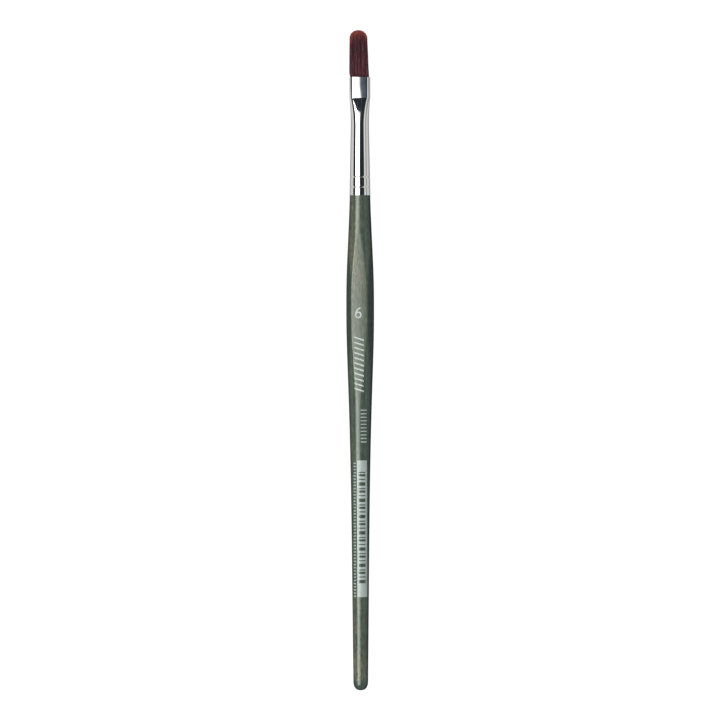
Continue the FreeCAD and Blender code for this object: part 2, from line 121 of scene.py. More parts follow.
class FerruleSettings(bpy.types.PropertyGroup):
    """The plated tube."""

    wall: length_setting("Wall", "Thickness of the tube", 0.25 * MM)
    front_radius: length_setting("Front radius", "Radius where the cone ends", 2.59 * MM)
    flat_length: length_setting("Flat length", "Length of the flat mouth", 5.9 * MM)
    blend_length: length_setting("Blend length", "Length from flat to round", 8.1 * MM)
    mouth_width: length_setting("Mouth width", "Width of the flat mouth", 5.98 * MM)
    mouth_thickness: length_setting("Mouth thickness", "Thickness of the flat mouth", 2.0 * MM)
    crown: angle_setting("Crown", "How far the pressed faces turn towards their edges", 6.0)
    roll: angle_setting("Roll", "How far the pressed part is turned against the grip", 2.6)
    plating: colour_setting("Plating", "Bright nickel", (0.86, 0.86, 0.86))


class TuftSettings(bpy.types.PropertyGroup):
    """The free filaments."""

    strand_width: length_setting("Strand", "Diameter of one filament at its root", 0.13 * MM)
    strand_pitch: length_setting("Pitch", "Distance between filaments at the mouth", 0.083 * MM)
    lean: length_setting("Lean", "How far the tip leans to one side", 0.4 * MM)
    seed: bpy.props.IntProperty(
        name="Seed", description="Start of the random draws", default=7, min=0
    )
    body: colour_setting("Body", "Colour of a filament along its length", (0.062, 0.0165, 0.024))
    tip: colour_setting("Tip", "Colour of a filament's point", (0.38, 0.066, 0.058))


class StageSettings(bpy.types.PropertyGroup):
    """Camera, floor and studio light."""

    camera_height: length_setting("Height", "Distance from camera to brush", 0.854)
    camera_lean: angle_setting("Lean", "How far the camera leans off the vertical", 4.3)
    camera_turn: angle_setting("Turn", "How far the camera turns about its own line", -0.09)
    camera_aside: length_setting(
        "Aside", "How far the camera stands off the brush's middle, to picture-left", 0.07 * MM
    )
    lens: bpy.props.FloatProperty(
        name="Lens", description="Focal length in millimetres", default=150.0, min=1
    )
    key_power: bpy.props.FloatProperty(
        name="Key", description="Power of the large soft light, in watts", default=4.0, min=0
    )
    fill: bpy.props.FloatProperty(
        name="Fill", description="Brightness of the room around the stage", default=0.1, min=0
    )


SETTINGS = {
    "brush_handle": HandleSettings,
    "brush_ferrule": FerruleSettings,
    "brush_tuft": TuftSettings,
    "brush_stage": StageSettings,
}


# ---------------------------------------------------------------- modelling by hand


def deselect_all():
    """Leave object mode with nothing selected."""
    if bpy.context.object and bpy.context.object.mode != "OBJECT":
        bpy.ops.object.mode_set(mode="OBJECT")
    bpy.ops.object.select_all(action="DESELECT")


def pick(piece):
    """Make one piece the selected and active one."""
    deselect_all()
    piece.select_set(True)
    bpy.context.view_layer.objects.active = piece


def name_piece(name):
    """Give the active object and its data a name."""
    piece = bpy.context.object
    piece.name = name
    piece.data.name = name
    return piece


def settle(piece):
    """Put a piece's place into its mesh."""
    pick(piece)
    bpy.ops.object.transform_apply(location=True, rotation=True, scale=True)


def edit_all(piece):
    """Go into edit mode on one piece, with all of it selected."""
    pick(piece)
    bpy.ops.object.mode_set(mode="EDIT")
    bpy.ops.mesh.select_all(action="SELECT")


def close_and_turn_out(piece, distance):
    """Merge doubled points and make the faces point outwards."""
    edit_all(piece)
    bpy.ops.mesh.remove_doubles(threshold=distance)
    bpy.ops.mesh.normals_make_consistent(inside=False)
    bpy.ops.object.mode_set(mode="OBJECT")


def smooth_by_angle(piece, degrees):
    """Shade a piece smooth except at edges sharper than an angle."""
    pick(piece)
    bpy.ops.object.shade_smooth_by_angle(angle=math.radians(degrees))


def wrap_rings(name, rings):
    """A closed skin through rings of equally many points, shaped from a flat grid.

    A ring whose points all coincide closes an end; a last ring equal to the first joins
    the skin to itself.
    """
    around = len(rings[0])
    deselect_all()
    bpy.ops.mesh.primitive_grid_add(
        x_subdivisions=around, y_subdivisions=len(rings) - 1, size=MM, calc_uvs=False
    )
    piece = name_piece(name)
    settle(piece)
    set_points(piece, [point for ring in rings for point in (*ring, ring[0])])
    close_and_turn_out(piece, 0.0001 * MM)
    return piece


def add_point_values(piece, name, values):
    """Store one number for each point of a piece."""
    attribute = piece.data.attributes.new(name, "FLOAT", "POINT")
    attribute.data.foreach_set("value", np.asarray(values, np.float32))


def point_array(piece):
    """The places of a piece's points, one row each."""
    flat = np.empty(len(piece.data.vertices) * 3)
    piece.data.vertices.foreach_get("co", flat)
    return flat.reshape(-1, 3)


def set_points(piece, places):
    """Move a piece's points to new places."""
    piece.data.vertices.foreach_set("co", np.asarray(places, float).ravel())
    piece.data.update()


def smooth_step(low, high, value):
    """0 below low, 1 above high, smooth between."""
    share = np.clip((value - low) / (high - low), 0, 1)
    return share * share * (3 - 2 * share)


# ---------------------------------------------------------------- material nodes


BLACK = (0.0, 0.0, 0.0)


class Value:
    """A number or colour in a node tree; the usual signs on it add math nodes."""

    def __init__(self, socket):
        self.socket = socket
        self.tree = socket.id_data

    def combine(self, operation, first, second=0.0):
        """What one math node makes of two numbers."""
        inputs = {0: first, 1: second}
        return Value(add_node(self.tree, "ShaderNodeMath", inputs, operation=operation).outputs[0])

    def __add__(self, other):
        return self.combine("ADD", self, other)

    def __sub__(self, other):
        return self.combine("SUBTRACT", self, other)

    def __rsub__(self, other):
        return self.combine("SUBTRACT", other, self)

    def __mul__(self, other):
        return self.combine("MULTIPLY", self, other)

    def __truediv__(self, other):
        return self.combine("DIVIDE", self, other)

    def __rtruediv__(self, other):
        return self.combine("DIVIDE", other, self)

    def __abs__(self):
        return self.combine("ABSOLUTE", self)

    def clamped(self):
        """The same number, held between 0 and 1."""
        return Value(add_node(self.tree, "ShaderNodeClamp", {"Value": self}).outputs[0])


def new_material(name):
    """A material with an empty node tree, and the tree."""
    material = bpy.data.materials.new(name)
    material.use_nodes = True
    tree = material.node_tree
    tree.nodes.clear()
    return material, tree


def add_node(tree, kind, inputs=None, **settings):
    """Add a node, set its fields, and link or set its inputs by name or number."""
    node = tree.nodes.new(kind)
    for field, value in settings.items():
        setattr(node, field, value)
    for name, value in (inputs or {}).items():
        source = getattr(value, "socket", value)
        if isinstance(source, bpy.types.NodeSocket):
            tree.links.new(source, node.inputs[name])
        else:
            node.inputs[name].default_value = value
    return node


def remap(value, low, high, to_low=0.0, to_high=1.0):
    """A value mapped smoothly from one range to another."""
    inputs = {"Value": value, "From Min": low, "From Max": high}
    inputs.update({"To Min": to_low, "To Max": to_high})
    node = add_node(value.tree, "ShaderNodeMapRange", inputs, interpolation_type="SMOOTHSTEP")
    return Value(node.outputs["Result"])


def between(value, rise, full, fall, gone):
    """A mask that is 1 between two limits of a value, with soft edges."""
    return remap(value, rise, full) * remap(value, fall, gone, 1.0, 0.0)


def with_alpha(colour):
    """A colour as a node input takes it."""
    return colour if isinstance(colour, Value) else (*colour[:3], 1)


def mix_colour(tree, share, first, second):
    """Two colours mixed by a share."""
    inputs = {0: share, 6: with_alpha(first), 7: with_alpha(second)}
    return Value(add_node(tree, "ShaderNodeMix", inputs, data_type="RGBA").outputs[2])


def object_place(tree):
    """The place on the piece, in metres."""
    return add_node(tree, "ShaderNodeTexCoord").outputs["Object"]


def split_place(tree):
    """The place on the piece as three values: along, across and up."""
    parts = add_node(tree, "ShaderNodeSeparateXYZ", {0: object_place(tree)}).outputs
    return [Value(part) for part in parts]


def scale_place(tree, scale):
    """The place on the piece, multiplied by three factors."""
    inputs = {0: object_place(tree), 1: scale}
    return add_node(tree, "ShaderNodeVectorMath", inputs, operation="MULTIPLY").outputs[0]


def add_noise(tree, place, **inputs):
    """Noise at a scaled place."""
    inputs = {"Vector": place, "Scale": 1.0, **inputs}
    return Value(add_node(tree, "ShaderNodeTexNoise", inputs).outputs["Fac"])


def stretched_noise(tree, along, across, detail):
    """Noise whose scale differs along and across the brush, given as features a metre."""
    return add_noise(tree, scale_place(tree, (along, across, across)), Detail=detail)


def add_bump(tree, height, distance, strength):
    """A normal bent by a height."""
    inputs = {"Height": height, "Distance": distance, "Strength": strength}
    return add_node(tree, "ShaderNodeBump", inputs).outputs["Normal"]


def add_surface(tree, inputs):
    """The Principled shader and the output that it feeds."""
    shader = add_node(tree, "ShaderNodeBsdfPrincipled", inputs)
    add_node(tree, "ShaderNodeOutputMaterial", {"Surface": shader.outputs[0]})


def read_value(tree, name):
    """A number stored on the piece's points."""
    return Value(add_node(tree, "ShaderNodeAttribute", attribute_name=name).outputs["Fac"])


def new_group(name, inputs, outputs):
    """A node group's tree, its inputs as values, and the node that takes its outputs."""
    tree = bpy.data.node_groups.new(name, "ShaderNodeTree")
    for socket, default in inputs.items():
        made = tree.interface.new_socket(
            name=socket, in_out="INPUT", socket_type="NodeSocketFloat"
        )
        made.default_value = default
    for socket in outputs:
        tree.interface.new_socket(name=socket, in_out="OUTPUT", socket_type="NodeSocketFloat")
    start = tree.nodes.new("NodeGroupInput")
    end = tree.nodes.new("NodeGroupOutput")
    return tree, {socket: Value(start.outputs[socket]) for socket in inputs}, end


def grain_place(tree, given):
    """The place on the piece, counted in a group's lengths along and widths across."""
    along = 1.0 / given["Length"]
    across = 1.0 / given["Width"]
    scale = add_node(tree, "ShaderNodeCombineXYZ", {0: along, 1: across, 2: across})
    return scale_place(tree, Value(scale.outputs[0]))


def make_streak_group():
    """Fine lines along the brush: drawn metal, wood pores or packed filaments."""
    tree, given, end = new_group(
        "Long streaks", {"Length": 0.01, "Width": 0.0002, "Sharpness": 0.5}, ("Streaks",)
    )
    noise = add_noise(tree, grain_place(tree, given), Detail=2.0)
    half_band = 0.5 - given["Sharpness"] * 0.45
    tree.links.new(remap(noise, 0.5 - half_band, half_band + 0.5).socket, end.inputs["Streaks"])


def make_blotch_group():
    """Soft uneven patches: stain, oxide or worn foil."""
    tree, given, end = new_group(
        "Blotches", {"Length": 0.01, "Width": 0.003, "Cover": 0.5, "Softness": 0.2, "Shift": 0.0},
        ("Patches",),
    )
    inputs = {0: grain_place(tree, given), 1: given["Shift"]}
    moved = add_node(tree, "ShaderNodeVectorMath", inputs, operation="ADD").outputs[0]
    noise = add_noise(tree, moved, Detail=5.0, Roughness=0.62, Distortion=0.4)
    middle = 1.0 - given["Cover"]
    low = middle - given["Softness"]
    high = middle + given["Softness"]
    tree.links.new(remap(noise, low, high).socket, end.inputs["Patches"])


def make_handling_group():
    """Marks of handling: faint smears and hairline scratches that change the gloss."""
    tree, given, end = new_group(
        "Handling marks", {"Gloss": 0.1, "Smears": 0.05, "Scratches": 0.05},
        ("Roughness", "Height"),
    )
    smears = stretched_noise(tree, 120.0, 260.0, 4.0)
    scratch = remap(stretched_noise(tree, 90.0, 9000.0, 1.0), 0.66, 0.72)
    smeared = remap(smears, 0.4, 0.7) * given["Smears"]
    total = given["Gloss"] + smeared + scratch * given["Scratches"]
    tree.links.new(total.socket, end.inputs["Roughness"])
    tree.links.new((1.0 - smears).socket, end.inputs["Height"])


GROUP_MAKERS = {
    "Long streaks": make_streak_group,
    "Blotches": make_blotch_group,
    "Handling marks": make_handling_group,
}


def use_group(tree, name, *values):
    """Place a shared group, made when first used, with its own values; give its outputs."""
    if name not in bpy.data.node_groups:
        GROUP_MAKERS[name]()
    node = add_node(tree, "ShaderNodeGroup", node_tree=bpy.data.node_groups[name])
    for socket, value in zip(node.inputs, values):
        socket.default_value = value
    return [Value(output) for output in node.outputs]


def streaks(tree, length, width, sharpness):
    """A mask of fine lines along the brush."""
    return use_group(tree, "Long streaks", length, width, sharpness)[0]


def blotches(tree, length, width, cover, softness, shift=0.0):
    """A mask of soft patches."""
    return use_group(tree, "Blotches", length, width, cover, softness, shift)[0]


def handling_marks(tree, gloss, smears, scratches):
    """The roughness and the height of a surface with marks of handling."""
    return use_group(tree, "Handling marks", gloss, smears, scratches)


# ---------------------------------------------------------------- materials


# the stain is most even over the grip and just behind it, and thinner towards both ends
EVEN_STAIN_MIDDLE = -25 * MM
EVEN_STAIN_REACH = 33 * MM
EVEN_STAIN_FADE = 12 * MM


def give_material(piece, material):
    """Cover a piece all over with one material."""
    piece.data.materials.clear()
    piece.data.materials.append(material)


def make_stained_wood(settings):
    """Birch, stained green-grey unevenly, then lacquered, with painted light that makes the top
    flat paler and the stain warmer towards picture-left, and painted shade that keeps the side
    flats darker.
    """
    material, tree = new_material("stained_birch")
    along, across, up = split_place(tree)
    planed = read_value(tree, "planed")
    # painted light: the planed flat on top is made paler and a little warmer
    painted_light_top_flat = planed * remap(up, AXIS_HEIGHT + 2.8 * MM, AXIS_HEIGHT + 3.2 * MM)
    # painted shade: the planed flats on the sides get less of the warm tone, so they stay darker
    painted_shade_side_flats = (planed - painted_light_top_flat).clamped()
    # painted light: the stain turns warmer towards picture-left, the key's side; the terms towards
    # both ends are real thin stain
    thin = remap(across, -1.2 * MM, 1.2 * MM, 0.22, 0.85)
    thin += remap(along, BUTT + 5 * MM, BUTT + 14 * MM, 0.4, 0.0)
    thin *= remap(along, BUTT + 1.5 * MM, BUTT + 4 * MM)
    uneven_from = EVEN_STAIN_REACH + EVEN_STAIN_FADE
    thin *= remap(abs(along - EVEN_STAIN_MIDDLE), EVEN_STAIN_REACH, uneven_from, 0.4, 1.0)
    thin = thin * remap(painted_shade_side_flats, 0.0, 1.0, 1.0, 0.25) + painted_light_top_flat * 0.25
    warm_stain_and_painted_light = (blotches(tree, 0.009, 0.0016, 0.56, 0.13) * thin).clamped()
    colour = mix_colour(tree, warm_stain_and_painted_light, settings.stain, settings.warm)
    # painted light on the top flat
    colour = mix_colour(tree, painted_light_top_flat * 0.5, colour, settings.pale)
    dark = mix_colour(tree, 0.55, settings.stain, BLACK)
    fine_patches = blotches(tree, 0.0014, 0.00055, 0.48, 0.12, shift=3.7)
    grain = streaks(tree, 0.009, 0.00022, 0.3)
    pores = streaks(tree, 0.0014, 0.00007, 0.75)
    for mask, depth in ((fine_patches, 0.6), (grain, 0.35), (pores, 0.3)):
        colour = mix_colour(tree, (1.0 - mask) * depth, colour, dark)
    relief = pores * 0.6 + grain + stretched_noise(tree, 110.0, 700.0, 2.0) * 6.0
    facing = Value(add_node(tree, "ShaderNodeLayerWeight", {"Blend": 0.5}).outputs["Facing"])
    add_surface(tree, {
        "Base Color": colour, "Roughness": handling_marks(tree, 0.3, 0.08, 0.06)[0],
        "Specular IOR Level": 0.0, "Coat Weight": remap(facing, 0.15, 0.6, 0.95, 0.03),
        "Coat Roughness": 0.18, "Normal": add_bump(tree, relief, 0.000012, 0.6),
    })
    return material


def make_nickel(settings):
    """Bright nickel plating with the faint lines of drawing and handling."""
    material, tree = new_material("bright_nickel")
    roughness, height = handling_marks(tree, 0.04, 0.04, 0.03)
    tarnish = blotches(tree, 0.006, 0.002, 0.42, 0.2) * 0.12
    relief = height + streaks(tree, 0.03, 0.00012, 0.2)
    add_surface(tree, {
        "Base Color": mix_colour(tree, tarnish, settings.plating, (0.62, 0.62, 0.6)),
        "Metallic": 1.0, "Roughness": roughness,
        "Normal": add_bump(tree, relief, 0.0000006, 0.2),
    })
    return material


def make_filament_material(settings):
    """Dark red-brown synthetic filament, redder towards its point."""
    material, tree = new_material("red_brown_filament")
    tone = read_value(tree, "tone")
    dark = mix_colour(tree, 0.75, settings.body, BLACK)
    light = mix_colour(tree, 0.16, settings.body, (0.6, 0.27, 0.35))
    body = mix_colour(tree, tone, dark, light)
    fine_lines = streaks(tree, 0.004, 0.00012, 0.35)
    body = mix_colour(tree, fine_lines * 0.3, body, settings.body)
    # painted shade: darker streaks between the locks, where the points redden less too
    painted_shade_between_locks = 1.0 - streaks(tree, 0.0022, 0.00026, 0.55)
    body = mix_colour(tree, painted_shade_between_locks * 0.55, body, dark)
    near_point = (1.15 - read_value(tree, "to_point") - painted_shade_between_locks * 0.45).clamped()
    pale_point = mix_colour(tree, 0.25, settings.tip, (0.6, 0.3, 0.2))
    point = mix_colour(tree, tone, settings.tip, pale_point)
    add_surface(tree, {
        "Base Color": mix_colour(tree, near_point, body, point),
        "Roughness": remap(tone, 0.0, 1.0, 0.5, 0.36), "Specular IOR Level": 0.12,
    })
    return material


def make_foil():
    """Hot-stamped silver foil, brushed soft, with specks worn through to the stain."""
    material, tree = new_material("silver_foil")
    worn = blotches(tree, 0.0007, 0.0005, 0.34, 0.05, shift=1.3)
    cloud = blotches(tree, 0.003, 0.0015, 0.5, 0.3)
    silver = mix_colour(tree, cloud, (0.35, 0.41, 0.395), (0.44, 0.5, 0.485))
    add_surface(tree, {
        "Base Color": mix_colour(tree, worn * 0.45, silver, (0.12, 0.15, 0.125)),
        "Metallic": (1.0 - worn) * 0.1, "Normal": add_bump(tree, worn, -0.000004, 0.5),
        "Roughness": remap(cloud, 0.0, 1.0, 0.42, 0.55),
    })
    return material


def add_two_tones(tree, mask, colours, roughness, bump, coat=0.0):
    """A surface that goes from one colour, gloss and height to another by a mask."""
    add_surface(tree, {
        "Base Color": mix_colour(tree, mask, *colours),
        "Roughness": remap(mask, 0.0, 1.0, *roughness),
        "Normal": add_bump(tree, mask, *bump), "Coat Weight": coat,
    })


def make_root_material(settings):
    """The bundle's roots inside the ferrule: packed filaments seen end on and along."""
    material, tree = new_material("packed_roots")
    colours = (mix_colour(tree, 0.5, settings.body, BLACK), settings.body)
    mask = streaks(tree, 0.02, 0.0001, 0.5)
    add_two_tones(tree, mask, colours, roughness=(0.6, 0.4), bump=(0.00002, 0.8))
    return material


def make_thread_material():
    """Waxed thread: pale fibres with a fine twist."""
    material, tree = new_material("waxed_thread")
    fibre = remap(stretched_noise(tree, 9000.0, 2500.0, 2.0), 0.35, 0.65)
    colours = ((0.5, 0.45, 0.34), (0.74, 0.7, 0.6))
    add_two_tones(tree, fibre, colours, roughness=(0.75, 0.5), bump=(0.00001, 0.8))
    return material


def make_resin():
    """Cast amber resin with a few cloudy patches."""
    material, tree = new_material("amber_resin")
    cloud = blotches(tree, 0.001, 0.001, 0.4, 0.25)
    colours = ((0.34, 0.19, 0.06), (0.55, 0.38, 0.17))
    add_two_tones(tree, cloud, colours, roughness=(0.12, 0.3), bump=(0.00001, 0.4), coat=0.4)
    return material


def make_glue():
    """Dried wood glue: cream, a little uneven."""
    material, tree = new_material("dried_glue")
    cloud = blotches(tree, 0.0015, 0.0008, 0.5, 0.2)
    colours = ((0.62, 0.54, 0.36), (0.78, 0.72, 0.56))
    add_two_tones(tree, cloud, colours, roughness=(0.3, 0.5), bump=(0.00002, 0.5))
    return material


# ---------------------------------------------------------------- the handle


TAIL_PULLS = ((58.0, 2.65), (30.4, 2.39), (12.0, 2.21))
NECK_RADIUS = 2.93 * MM
NECK_PULL = (9.2 * MM, 3.13 * MM)
BELLY_PULL_AT = 27.6 * MM
WAIST_PULL = (55.2 * MM, 3.32 * MM)
HEEL_RADIUS = 2.11 * MM
DOME_LENGTH = 2.8 * MM
DOME_FULLNESS = 0.68
TANG_REAR_RADIUS = 2.6 * MM
TANG_NOSE_RADIUS = 1.86 * MM
TANG_NECK_RADIUS = 2.46 * MM
TANG_CHAMFER = 0.6 * MM
FLAT_CROWN = 36 * MM
# a flat cuts only where the stick faces it by more than this cosine
LEAST_FACING = 0.3
# the planed mask goes from 0 to 1 between these depths
PLANED_DEPTHS = (0.01 * MM, 0.08 * MM)
LATHE_STEPS = 192
OUTLINE_STEPS = 44
DOME_STEPS = 18


def outline_points(poles, steps):
    """The points of a clamped cubic outline pulled by poles (x, radius)."""
    curve = bpy.data.curves.new("outline", "CURVE")
    spline = curve.splines.new("NURBS")
    spline.points.add(len(poles) - 1)
    for point, (place, radius) in zip(spline.points, poles):
        point.co = (place, 0, radius, 1)
    spline.order_u = 4
    spline.use_endpoint_u = True
    spline.resolution_u = steps
    drawn = bpy.data.objects.new("outline", curve)
    line = bpy.data.meshes.new_from_object(drawn)
    points = [(vertex.co.x, vertex.co.z) for vertex in line.vertices]
    bpy.data.objects.remove(drawn)
    bpy.data.curves.remove(curve)
    bpy.data.meshes.remove(line)
    return points


def stick_outline(settings):
    """The handle's half outline from the tang's nose to the butt, as (x, radius)."""
    poles = [
        (SHOULDER, NECK_RADIUS),
        (SHOULDER - NECK_PULL[0], NECK_PULL[1]),
        (SHOULDER - BELLY_PULL_AT, settings.belly_pull),
        (SHOULDER - WAIST_PULL[0], WAIST_PULL[1]),
        *((BUTT + place * MM, radius * MM) for place, radius in TAIL_PULLS),
        (BUTT + DOME_LENGTH, HEEL_RADIUS),
    ]
    dome = [
        poles[-1],
        (BUTT + DOME_LENGTH * (1 - DOME_FULLNESS), HEEL_RADIUS),
        (BUTT, HEEL_RADIUS * DOME_FULLNESS),
        (BUTT, 0),
    ]
    nose = HANDLE_HIGH.x
    tang = [
        (nose, 0),
        (nose, TANG_NOSE_RADIUS),
        (nose - TANG_CHAMFER, TANG_NECK_RADIUS),
        (SHOULDER, TANG_REAR_RADIUS),
    ]
    turned = outline_points(poles, OUTLINE_STEPS)
    rounded = outline_points(dome, DOME_STEPS)
    return tang + turned + rounded[1:]


def lathe(name, outline, steps):
    """Spin an outline of (x, radius) about the brush's axis into a closed turned piece."""
    deselect_all()
    bpy.ops.mesh.primitive_plane_add(size=MM, location=(0, 0, 0))
    piece = name_piece(name)
    piece.data.clear_geometry()
    places = [(place, 0, AXIS_HEIGHT + radius) for place, radius in outline]
    edges = [(number, number + 1) for number in range(len(places) - 1)]
    piece.data.from_pydata(places, edges, [])
    edit_all(piece)
    bpy.ops.mesh.spin(steps=steps, angle=math.tau, center=AXIS_POINT, axis=ALONG)
    bpy.ops.object.mode_set(mode="OBJECT")
    close_and_turn_out(piece, 0.0005 * MM)
    return piece


def plane_grip(piece, settings):
    """Plane six flats into the belly, with lacquer-soft edges, and mark what was planed."""
    places = point_array(piece)
    across = places[:, 1]
    upward = places[:, 2] - AXIS_HEIGHT
    turned = np.hypot(across, upward)
    facing = np.arctan2(across, upward)
    half = settings.grip_half
    corner = settings.grip_corner
    side_facing = math.atan2(half, corner - math.sqrt(corner**2 - half**2))
    side_depth = corner * math.sin(side_facing)
    flats = [(0, half), (math.pi, half)]
    for direction in (side_facing, math.pi - side_facing):
        flats += [(direction, side_depth), (-direction, side_depth)]
    soft = settings.edge_softness
    crowding = np.zeros(len(places))
    for direction, depth in flats:
        reach = np.cos(facing - direction)
        divisor = np.maximum(reach, LEAST_FACING)
        aside = depth * np.sqrt(1 - reach**2) / divisor
        limit = (depth - aside**2 / (2 * FLAT_CROWN)) / divisor
        limit = np.where(reach > LEAST_FACING, limit, turned * 3 + depth)
        crowding += np.exp(np.clip((turned - limit) / soft, -60, 60))
    planed = turned - soft * np.log1p(crowding)
    on_grip = places[:, 0] < SHOULDER - MM
    planed = np.where(on_grip & (turned > MM), planed, turned)
    share = planed / np.maximum(turned, 1e-9)
    places[:, 1] = across * share
    places[:, 2] = AXIS_HEIGHT + upward * share
    set_points(piece, places)
    add_point_values(piece, "planed", smooth_step(*PLANED_DEPTHS, turned - planed))


# ---------------------------------------------------------------- the ferrule


FERRULE_SIDES = 144
PLAIN_STEP = 0.2 * MM
FINE_STEP = 0.05 * MM
LEAST_STEP = 0.03 * MM
BORE_STEP = 0.8 * MM
CRIMP_INSET = 2.33 * MM
CRIMP_SPACING = 2.91 * MM
CRIMP_DEPTH = 0.11 * MM
CRIMP_WIDTH = 0.15 * MM
CRIMP_SWELL = 0.16
SWELL_OFFSET = 2.2
LIP_RADIUS = 0.07 * MM
LIP_TILTS = (20, 40, 60, 80)
FLATTENING = 1.8
CREASE_SOFTNESS = 0.012
SHOULDER_LEAN = math.radians(34)
FLANK_LEAN = math.radians(42.5)
SHOULDER_RADIUS = 0.8 * MM
NOSE_RADIUS = 0.35 * MM
CREASE_ROLL = 0.6
MOUTH_ROLL = 1.1
ROOT_GAP = 0.02 * MM
THREAD_ROOM = 0.35 * MM


def spaced(start, end, step):
    """Evenly spaced places from start to end, both included."""
    count = max(2, round((end - start) / step) + 1)
    return [float(place) for place in np.linspace(start, end, count)]


class FerruleForm:
    """The plated tube's form: where its surface lies at a place, a turn and an inset."""

    def __init__(self, settings):
        self.settings = settings
        self.rear_radius = (FERRULE_HIGH.z - FERRULE_LOW.z) / 2
        self.crease = MOUTH - settings.flat_length
        self.round_end = self.crease - settings.blend_length
        self.crimps = [SHOULDER + CRIMP_INSET, SHOULDER + CRIMP_INSET + CRIMP_SPACING]

    def places(self):
        """Places along the tube, closer together at lips, crimps and crease."""
        found = spaced(SHOULDER + LIP_RADIUS, MOUTH - LIP_RADIUS, PLAIN_STEP)
        for crimp in self.crimps:
            found += spaced(crimp - 0.6 * MM, crimp + 0.6 * MM, FINE_STEP)
        found += spaced(self.crease - 1.2 * MM, self.crease + 0.4 * MM, FINE_STEP)
        found.sort()
        kept = [found[0]]
        for place in found[1:]:
            if place - kept[-1] > LEAST_STEP:
                kept.append(place)
        kept[-1] = MOUTH - LIP_RADIUS
        return kept

    def flatness(self, place):
        """1 at the flat mouth, 0 in the cone, with a softened crease."""
        share = (self.crease - place) / self.settings.blend_length
        if share < 20 * CREASE_SOFTNESS:
            share = CREASE_SOFTNESS * math.log1p(math.exp(share / CREASE_SOFTNESS))
        return (1 - min(1, share)) ** FLATTENING

    def crimp_inset(self, place):
        """How far the rolled crimps sink the surface, with a slight swell beside them."""
        sunk = 0
        for crimp in self.crimps:
            away = (place - crimp) / CRIMP_WIDTH
            sunk += CRIMP_DEPTH * math.exp(-away * away)
            sunk -= CRIMP_DEPTH * CRIMP_SWELL * math.exp(-(abs(away) - SWELL_OFFSET) ** 2)
        return sunk

    def mouth_pieces(self):
        """The pressed mouth's top quarter as arcs (radius, first lean, last lean)."""
        settings = self.settings
        crown = settings.crown
        shoulder, flank = SHOULDER_LEAN, FLANK_LEAN
        edge, nose = SHOULDER_RADIUS, NOSE_RADIUS
        wide = settings.mouth_width / 2
        thick = settings.mouth_thickness / 2
        wide -= edge * (math.sin(shoulder) - math.sin(crown)) + nose * (1 - math.sin(flank))
        thick -= edge * (math.cos(crown) - math.cos(shoulder)) + nose * math.cos(flank)
        across = (math.sin(crown), math.sin(flank) - math.sin(shoulder))
        upward = (1 - math.cos(crown), math.cos(shoulder) - math.cos(flank))
        spread = across[0] * upward[1] - across[1] * upward[0]
        face = (wide * upward[1] - across[1] * thick) / spread
        side = (across[0] * thick - wide * upward[0]) / spread
        quarter = math.pi / 2
        return (
            (face, 0, crown), (edge, crown, shoulder), (side, shoulder, flank),
            (nose, flank, quarter),
        )

    def ring(self, place, inset):
        """All points of one ring round the tube, from a quarter that is mirrored twice."""
        flatness = self.flatness(place)
        taper = min(1, (place - SHOULDER) / (self.round_end - SHOULDER))
        radius = self.rear_radius + (self.settings.front_radius - self.rear_radius) * taper
        pieces = []
        for number, (bend, first, last) in enumerate(self.mouth_pieces()):
            if number == 0:
                pieces.append((bend, 0, last * flatness))
                continue
            first = first * flatness if number == 1 else first
            pieces.append((bend * flatness + radius * (1 - flatness), first, last))
        length = sum(bend * (last - first) for bend, first, last in pieces)
        shares = [
            (bend * (last - first) / length + (last - first) * 2 / math.pi) / 2
            for bend, first, last in pieces
        ]
        depth = inset + self.crimp_inset(place)
        turned = Matrix.Rotation(self.twist(place), 2)
        quarter = FERRULE_SIDES // 4
        corner = [
            self.quarter_point(pieces, shares, number / quarter, depth)
            for number in range(quarter + 1)
        ]
        half = corner[:-1] + [Vector((point.x, -point.y)) for point in reversed(corner[1:])]
        points = half + [-point for point in half]
        for point in points:
            point.rotate(turned)
        return [(place, point.x, AXIS_HEIGHT + point.y) for point in points]

    def quarter_point(self, pieces, shares, share, depth):
        """A point at a share of the way from the top's middle to the side, sunk by a depth."""
        across = 0
        upward = sum(bend * (math.cos(first) - math.cos(last)) for bend, first, last in pieces)
        lean = 0
        for (bend, first, last), part in zip(pieces, shares):
            passed = min(1, share / part) if part > 1e-9 else 1
            lean = first + (last - first) * passed
            across += bend * (math.sin(lean) - math.sin(first))
            upward -= bend * (math.cos(first) - math.cos(lean))
            share -= part
            if share <= 1e-9:
                break
        return Vector((across - depth * math.sin(lean), upward - depth * math.cos(lean)))

    def twist(self, place):
        """How far the pressed part is turned, a little less on the face beside the crease."""
        before = smooth_step(self.crease - 0.6 * MM, self.crease, place)
        beyond = smooth_step(self.crease, self.crease + 4 * MM, place)
        at_crease = 1 + (CREASE_ROLL - 1) * before
        return self.settings.roll * float(at_crease + (MOUTH_ROLL - CREASE_ROLL) * beyond)

    def rings(self):
        """Rings over the outside, round the mouth's lip, and back through the bore."""
        wall = self.settings.wall
        lip = []
        for tilt in map(math.radians, LIP_TILTS):
            lip.append((LIP_RADIUS * (1 - math.sin(tilt)), LIP_RADIUS * (1 - math.cos(tilt))))
        found = [(SHOULDER + back, inset) for back, inset in reversed(lip)]
        found += [(place, 0) for place in self.places()]
        found += [(MOUTH - back, inset) for back, inset in lip]
        found += [(MOUTH, wall * 0.5), (MOUTH - 0.02 * MM, wall * 0.85)]
        inner = spaced(SHOULDER + 0.05 * MM, MOUTH - 0.06 * MM, BORE_STEP)
        found += [(place, wall) for place in reversed(inner)]
        found.append((SHOULDER, wall * 0.8))
        return [self.ring(place, inset) for place, inset in found]


def build_ferrule(settings):
    """Shape a closed band of rings into the tube, out along its outside and back inside."""
    rings = FerruleForm(settings).rings()
    return wrap_rings("ferrule_tube", rings + rings[:1])


